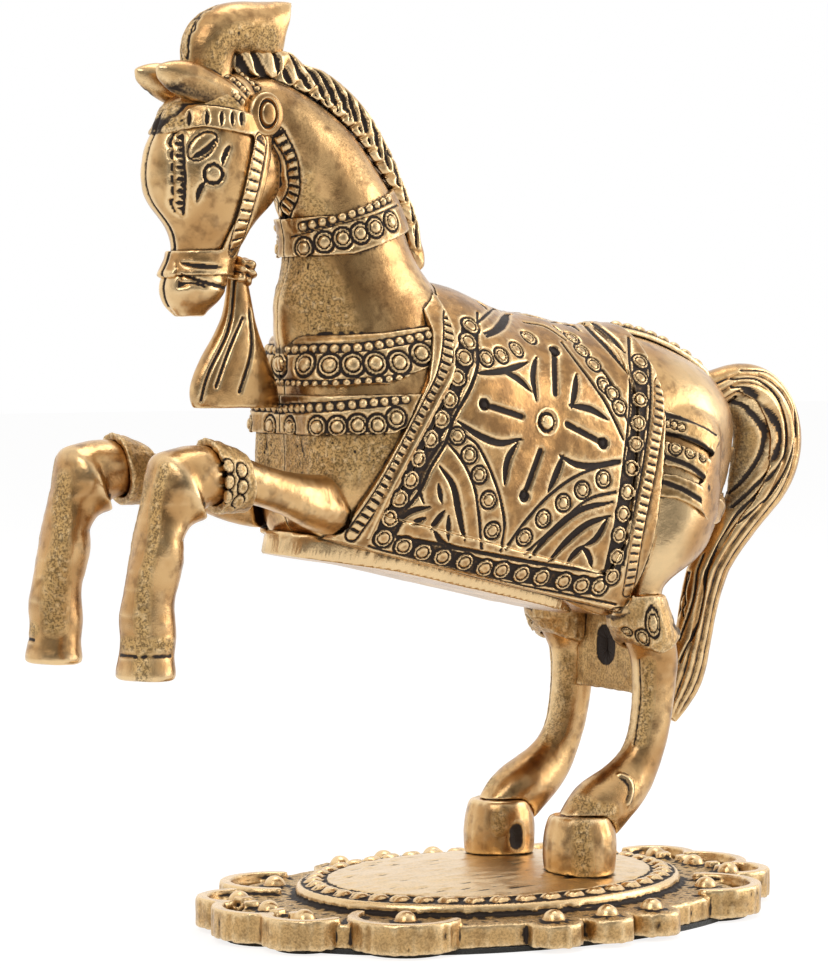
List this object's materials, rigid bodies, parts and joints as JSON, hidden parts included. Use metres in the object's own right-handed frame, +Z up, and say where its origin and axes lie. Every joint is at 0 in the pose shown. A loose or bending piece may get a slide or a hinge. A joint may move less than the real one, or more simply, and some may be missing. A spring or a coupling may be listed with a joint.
{
  "type": "ornamental horse figure",
  "caption": "Cast metal ornament of a rearing, caparisoned parade horse standing on its hind hooves on an oval base with a scrolled skirt.",
  "frame": {"origin": "middle of the base's underside, on the surface that the ornament stands on", "axes": "+Z up, the horse faces -X, its left flank faces -Y"},
  "size_m": [0.1464, 0.076, 0.1522],
  "materials": {
    "cast_metal": "antique gold, rubbed bright on the high places",
    "cast_base": "antique gold, satin",
    "felt": "felt",
    "screw_steel": "zinc plated"
  },
  "bodies": {
    "root": {"body_half_left": "cast_metal", "body_half_right": "cast_metal", "belly_plate": "cast_metal", "mane": "cast_metal", "forelock_plume": "cast_metal", "ear_left": "cast_metal", "ear_right": "cast_metal", "foreleg_left": "cast_metal", "foreleg_right": "cast_metal", "kneelet_left": "cast_metal", "kneelet_right": "cast_metal", "hind_leg_left": "cast_metal", "hind_leg_right": "cast_metal", "hock_band_left": "cast_metal", "hock_band_right": "cast_metal", "hock_bridge": "cast_metal", "hind_hoof_left": "cast_metal", "hind_hoof_right": "cast_metal", "tail": "cast_metal", "chin_tassel": "cast_metal", "bridle_left": "cast_metal", "bridle_right": "cast_metal", "neck_collar_left": "cast_metal", "neck_collar_right": "cast_metal", "upper_breast_collar_left": "cast_metal", "upper_breast_collar_right": "cast_metal", "lower_breast_collar_left": "cast_metal", "lower_breast_collar_right": "cast_metal", "saddle_cloth_left": "cast_metal", "saddle_cloth_right": "cast_metal", "cloth_border_left": "cast_metal", "cloth_border_right": "cast_metal", "breeching_left": "cast_metal", "breeching_right": "cast_metal", "crupper": "cast_metal", "base": "cast_base", "felt_pad": "felt", "hoof_screws": "screw_steel"}
  },
  "joints": []
}
